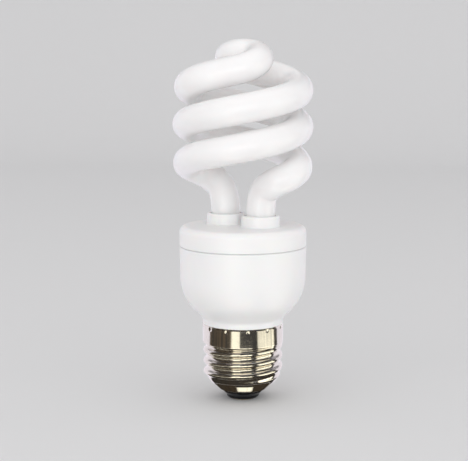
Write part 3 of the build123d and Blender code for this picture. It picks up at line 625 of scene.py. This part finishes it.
def glass_insulator():
    """Insulator: the plug inside the shell, and below the rim a plain cone down to a rounded foot, with the
    bore and the contact's recess."""
    slope = math.radians(CONE_ANGLE)
    rim = RIM_R - SHEET / math.sin(slope)
    shoulder = SHOULDER_R - SHEET
    arc_r = ROOT_R - SHOULDER_R
    touch = arc_r + shoulder * math.sin(slope)
    touch_z = RIM_Z + (touch - rim) * math.tan(slope)
    arc_z = touch_z + shoulder * math.cos(slope)
    top_r = arc_r + math.sqrt(shoulder ** 2 - (arc_z - INSULATOR_TOP_Z) ** 2)
    under_z = CONTACT_T / 2
    lathe_piece("glass_insulator", [
        (INSULATOR_BORE_R, INSULATOR_MID_Z), (INSULATOR_BORE_R, CONTACT_T, EDGE_ROUND),
        (CONTACT_R, CONTACT_T, 0.05), (CONTACT_R, under_z, 0.05), (INSULATOR_FOOT_R, under_z, 0.6),
        (INSULATOR_FOOT_R, INSULATOR_FOOT_Z, 0.3), (rim, RIM_Z, 0.15),
        (touch, touch_z, INSULATOR_SHOULDER_R),
        (top_r, INSULATOR_TOP_Z, EDGE_ROUND), (INSULATOR_BORE_R, INSULATOR_TOP_Z, EDGE_ROUND),
        (INSULATOR_BORE_R, INSULATOR_MID_Z),
    ], INSULATOR_COLUMNS, ["cap_insulator"], "black_glass")


def half_plate(radius, hole_r, rows):
    """Half of a round plate with a hole round the leg: rays from the hole's centre to the outer half circle
    and to the dividing line, each from the hole's edge H to the border B as H + (B - H) t.

    Gives the directions of the rays, and the grid in the plane whose first axis runs through the leg."""
    arc = np.linspace(-math.pi / 2, math.pi / 2, COVER_COLUMNS // 2 + 1)
    border = np.stack([radius * np.cos(arc), radius * np.sin(arc)], axis=1)
    line = np.linspace(radius, -radius, DIVIDING_POINTS + 1)[1:-1]
    border = np.vstack([border, np.stack([np.zeros_like(line), line], axis=1)])
    directions = np.arctan2(border[:, 1], border[:, 0] - LEG_R)
    hole = np.stack([LEG_R + hole_r * np.cos(directions), hole_r * np.sin(directions)], axis=1)
    t = (np.linspace(0, 1, rows) ** ROW_CROWDING)[:, None, None]
    return directions, hole + (border - hole) * t


def case_cover():
    """Cover of the case: a rim turned about Z, and two plates, top and under, that join at the collars.

    Each plate is made of two half plates, one round each leg, that share the points of their dividing line.
    The collar's profile is turned about the leg on the rays' own directions, so all parts meet point to
    point."""
    plate_z = COVER_TOP_Z - COVER_PLATE
    flat_r = CASE_R - COVER_ROUND
    base_r = COLLAR_R + (COLLAR_TOP_Z - COVER_TOP_Z) * math.tan(math.radians(COLLAR_DRAFT))
    border_r = flat_r - PLATE_EDGE
    under_r = SPIGOT_IN_R - UNDER_EDGE
    rim = rounded([
        (border_r, COVER_TOP_Z), (CASE_R, COVER_TOP_Z, COVER_ROUND), (CASE_R, PARTING_Z + SEAM, SEAM_ROUND),
        (CASE_R - SEAM, PARTING_Z, SEAM_ROUND), (SPIGOT_R, PARTING_Z, EDGE_ROUND),
        (SPIGOT_R, SPIGOT_Z, 0.15), (SPIGOT_IN_R, SPIGOT_Z, 0.15), (SPIGOT_IN_R, plate_z, 0.2),
        (under_r, plate_z)])
    leg = math.radians(LEG_ANGLE)
    angles = leg + np.linspace(0, 2 * math.pi, COVER_COLUMNS, endpoint=False)
    grids = [turned(rim[::-1], angles)]
    collar = rounded([
        (COLLAR_BORE_R, plate_z), (COLLAR_BORE_R, COLLAR_TOP_Z, 0.2), (COLLAR_R, COLLAR_TOP_Z, 0.5),
        (base_r, COVER_TOP_Z, 0.35), (base_r + COLLAR_FOOT, COVER_TOP_Z)])
    directions, top = half_plate(border_r, base_r + COLLAR_FOOT, TOP_ROWS)
    under_directions, under = half_plate(under_r, COLLAR_BORE_R, UNDER_ROWS)
    walls = turned(collar, directions, (LEG_R, 0.0))
    walls[0] = turned(collar[:1], under_directions, (LEG_R, 0.0))[0]
    top = np.concatenate([top, np.full(top.shape[:2] + (1,), COVER_TOP_Z)], axis=-1)
    under = np.concatenate([under, np.full(under.shape[:2] + (1,), plate_z)], axis=-1)
    half = np.concatenate([under[:0:-1], walls, top[1:]])
    for side in (0, math.pi):
        swing = leg + side
        x = half[..., 0] * math.cos(swing) - half[..., 1] * math.sin(swing)
        y = half[..., 0] * math.sin(swing) + half[..., 1] * math.cos(swing)
        grids.append(np.stack([x, y, half[..., 2]], axis=-1)[::-1])
    points = np.vstack([grid.reshape(-1, 3) for grid in grids])
    faces = []
    start = 0
    for grid in grids:
        faces += (np.array(ring_faces(grid.shape[0], grid.shape[1], False)) + start).tolist()
        start += grid.shape[0] * grid.shape[1]
    weld(mesh_piece("case_cover", points, faces, ["ballast_cover"], "white_plastic"))


glass_tube()
rolled_shell()
case_cup()
case_cover()
glass_insulator()

for row in frame["record"]["subparts"]:
    node = frame["nodes"][row["node"]]
    if not node.hide_render:
        node.data.materials.clear()
        node.data.materials.append(FINISHES[row["material_slot"]])


# Camera: at the photograph's side and height. The photograph is 468 x 461 pixels, and the bulb's axis is in
# column 242.9.
IMAGE_W, AXIS_COLUMN = 468, 242.9
VIEW_DISTANCE, VIEW_HEIGHT, VIEW_TURN, AIM_Z = 390.0, 110.4, 4.5, 56.1
MM_PER_PIXEL = 0.329
SENSOR_W = 36.0

turn = math.radians(VIEW_TURN)
eye = Vector((VIEW_DISTANCE * math.sin(turn), -VIEW_DISTANCE * math.cos(turn), VIEW_HEIGHT)) * MM
aim = Vector((0, 0, AIM_Z)) * MM
camera_data = bpy.data.cameras.new("camera")
camera = bpy.data.objects.new("camera", camera_data)
bpy.context.scene.collection.objects.link(camera)
camera.location = eye
camera.rotation_euler = (aim - eye).to_track_quat("-Z", "Y").to_euler()
focal_px = (aim - eye).length / MM / MM_PER_PIXEL
camera_data.sensor_width = SENSOR_W
camera_data.lens = focal_px / IMAGE_W * SENSOR_W
camera_data.shift_x = -(AXIS_COLUMN - IMAGE_W / 2) / IMAGE_W
camera_data.clip_start = 0.01
camera_data.clip_end = 20.0
bpy.context.scene.camera = camera


# Studio, in metres
FLOOR_FRONT, FLOOR_BACK, FLOOR_HALF_W, WALL_BEND_R, WALL_TOP, BEND_ROWS = -1.6, 0.9, 2.2, 0.35, 1.8, 24
LAMP_AIM = Vector((0, 0, 0.06))
CARD_COLUMNS = 13


def matt_paint(name, colour):
    """Paint without gloss, so that the floor doesn't show the cards, with a hardly visible unevenness."""
    finish = Finish(name, colour, Roughness=0.6, Specular_IOR_Level=0.0)
    dull = tuple(0.985 * c for c in colour)
    finish.set("Base Color", finish.blend(finish.noise(400.0, 2.0), colour, dull))
    return finish.material


def floor_sweep():
    """Floor that turns up into a backdrop: a flat run, a quarter circle and a wall, the same all along X."""
    angle = np.linspace(0, math.pi / 2, BEND_ROWS)
    arc = np.stack([FLOOR_BACK + WALL_BEND_R * np.sin(angle),
                    WALL_BEND_R - WALL_BEND_R * np.cos(angle)], axis=1)
    line = np.vstack([[FLOOR_FRONT, 0.0], arc, [FLOOR_BACK + WALL_BEND_R, WALL_TOP]])
    x = np.array([-FLOOR_HALF_W, FLOOR_HALF_W])
    points = np.stack([np.tile(x, (len(line), 1)), np.repeat(line[:, :1], 2, 1),
                       np.repeat(line[:, 1:], 2, 1)], axis=-1)
    paint = matt_paint("floor", (0.78, 0.785, 0.79))
    floor = mesh_object("floor", points, strip_faces(len(line), 2), paint)


def lamp(name, place, size, watts):
    """Soft oblong lamp at a place in metres, turned to the object."""
    data = bpy.data.lights.new(name, "AREA")
    data.shape = "RECTANGLE"
    data.size, data.size_y = size
    data.energy = watts
    made = bpy.data.objects.new(name, data)
    bpy.context.scene.collection.objects.link(made)
    made.location = place
    made.rotation_euler = (LAMP_AIM - Vector(place)).to_track_quat("-Z", "Y").to_euler()


def sector_card(name, first, last, colour, glow, streaks, near, far, wall=0.001, foot=0.0006):
    """Card that only reflections see: a sector of the floor from near to far, lifted to the height foot, and
    the wall from there up to the height wall, all in metres. It lies between two azimuths in degrees that
    count from the camera's side. Streaks run away from the object, in colour and in colour times streaks."""
    azimuth = np.radians(np.linspace(first, last, CARD_COLUMNS) + VIEW_TURN - 90)
    grid = turned(np.array([[near, foot], [far, foot], [far, wall]]), azimuth)
    finish = Finish(name, (0.02, 0.02, 0.02), Roughness=1.0, Emission_Strength=glow)
    swing = finish.node("ShaderNodeMath", {"operation": "ARCTAN2"}, {
        0: finish.axis("Y"), 1: finish.axis("X")})
    streak = finish.node("ShaderNodeTexNoise", {"noise_dimensions": "1D"}, {
        "W": swing, "Scale": 9.0, "Detail": 3.0})
    shade = finish.ramp(streak * 0.7 + finish.noise(60.0, 3.0) * 0.3, 0.42, 0.58)
    finish.set("Emission Color", finish.blend(shade, tuple(streaks * c for c in colour), colour))
    piece = mesh_object(name, grid, strip_faces(len(grid), CARD_COLUMNS), finish.material, False)
    piece.visible_camera = False
    piece.visible_diffuse = False
    piece.visible_shadow = False
    piece.visible_transmission = False


floor_sweep()
lamp("key", (-0.45, -0.7, 0.6), (0.9, 0.9), 1.0)
lamp("fill", (0.7, -0.6, 0.25), (0.9, 0.9), 1.2)
lamp("front", (0.06, -0.95, 0.15), (0.6, 0.35), 1.6)
BROWN, BLACK = (0.50, 0.34, 0.18), (0.42, 0.36, 0.24)
CREAM, LILAC = (1.0, 0.96, 0.80), (0.94, 0.90, 1.0)
# reaches: near and far edge of the floor's part, top and foot of the wall
SKIRT = (0.074, 0.45, 0.15)
HIGH_WALL = (0.449, 0.45, 0.75)
WHOLE_SIDE = (0.0125, 0.45, 0.42)
FLANKS = (0.0125, 0.0295)
CONE = (0.0062, 0.012)
# what the nickel reflects, from the far wall (skirt) in to the foot (cone): azimuths, colour, glow, streaks
# and reach
for number, values in enumerate([
        (-103, -31, BROWN, 0.20, 0.1, *SKIRT),
        (-31, -8.5, CREAM, 1.4, 0.9, *SKIRT),
        (-8.5, 40, BLACK, 0.03, 0.1, *SKIRT),
        (40, 94, CREAM, 1.25, 0.5, *SKIRT),
        (-103, 94, BROWN, 0.06, 0.3, *HIGH_WALL, 0.16),
        (94, 170, LILAC, 0.2, 0.6, *HIGH_WALL, 0.20),
        (-170, -103, LILAC, 0.2, 0.6, *HIGH_WALL, 0.20),
        (94, 108, BROWN, 0.06, 0.3, *WHOLE_SIDE),
        (108, 170, LILAC, 1.0, 0.9, *WHOLE_SIDE),
        (-170, -103, LILAC, 1.0, 0.9, *WHOLE_SIDE),
        (-103, -31, BROWN, 0.10, 0.1, 0.040, 0.073),
        (-103, -31, CREAM, 1.3, 0.3, 0.0300, 0.039),
        (-31, 24, CREAM, 2.6, 0.45, 0.0300, 0.073),
        (24, 41, BLACK, 0.03, 0.1, 0.0315, 0.073),
        (41, 94, CREAM, 2.5, 0.4, 0.0300, 0.073),
        (-103, 94, BROWN, 0.05, 0.2, *FLANKS),
        (-110, -16, BROWN, 0.10, 0.2, *CONE),
        (25, 100, BROWN, 0.10, 0.2, *CONE),
        (-19, 30, CREAM, 1.5, 0.8, 0.0074, 0.0100),
        (-16, 25, BLACK, 0.06, 0.2, 0.0101, 0.012),
        (-16, 25, BLACK, 0.03, 0.2, 0.0060, 0.0073)]):
    sector_card("reflection_%02d" % number, *values)


def studio_light():
    """Even light from all round, lower where the camera, gloss or glass sees it than on matt surfaces."""
    world = bpy.data.worlds.new("studio")
    bpy.context.scene.world = world
    world.use_nodes = True
    tree = world.node_tree
    tree.nodes.clear()
    rays = tree.nodes.new("ShaderNodeLightPath")
    camera_ray, gloss_ray, glass_ray = [Signal(tree, rays.outputs[kind]) for kind in (
        "Is Camera Ray", "Is Glossy Ray", "Is Transmission Ray")]
    level = add_node(tree, "ShaderNodeMapRange", None, {
        "Value": camera_ray + gloss_ray + glass_ray, "To Min": 0.80, "To Max": 0.55})
    light = add_node(tree, "ShaderNodeBackground", None, {"Color": (1.0, 0.985, 0.99), "Strength": level})
    fill(tree, tree.nodes.new("ShaderNodeOutputWorld").inputs["Surface"], light)


studio_light()
bpy.context.scene.view_settings.view_transform = "Standard"
